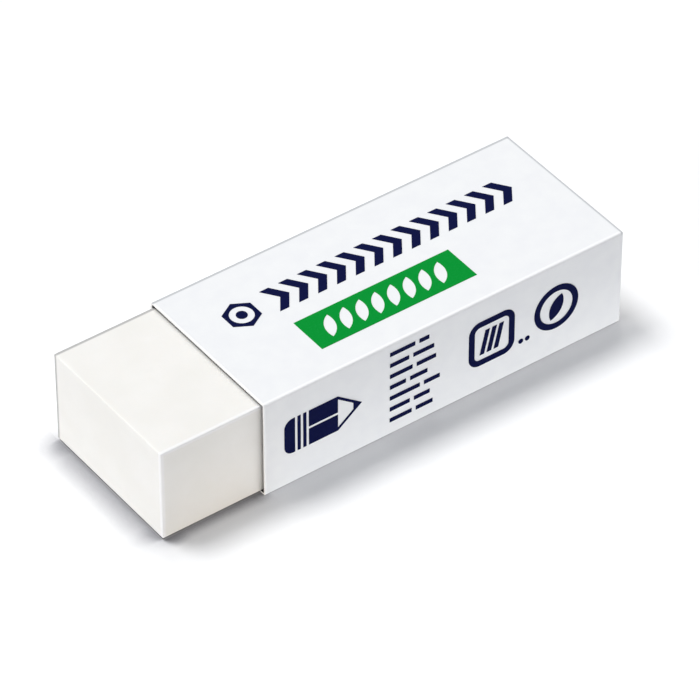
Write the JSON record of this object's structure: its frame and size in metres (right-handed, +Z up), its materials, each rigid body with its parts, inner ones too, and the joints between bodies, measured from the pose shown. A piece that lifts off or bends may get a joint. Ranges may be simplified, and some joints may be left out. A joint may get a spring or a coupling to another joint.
{
  "type": "rubber eraser in a card sleeve",
  "caption": "Rectangular block of soft white rubber that slides in a folded white card sleeve with navy and green print, one end of the block bare.",
  "frame": {"origin": "middle of the eraser's outline, on the surface that its sleeve rests on", "axes": "+X along the block, away from its bare end; +Y away from the printed long side; +Z up, out of the printed top"},
  "size_m": [0.0654, 0.0226, 0.0138],
  "materials": {
    "white_rubber": "matt, moulded and cut",
    "coated_card": "smooth coated folding card, satin",
    "navy_ink": "offset ink under a satin varnish",
    "green_ink": "offset ink under a satin varnish"
  },
  "bodies": {
    "sleeve": {"card_sleeve": "coated_card", "navy_print_top": "navy_ink", "navy_print_side": "navy_ink", "green_print": "green_ink"},
    "block": {"eraser_block": "white_rubber"}
  },
  "joints": [
    {"name": "block_slide", "type": "slide", "parent": "sleeve", "child": "block", "axis": [-1, 0, 0], "range_m": [-0.066, 0.052]}
  ]
}
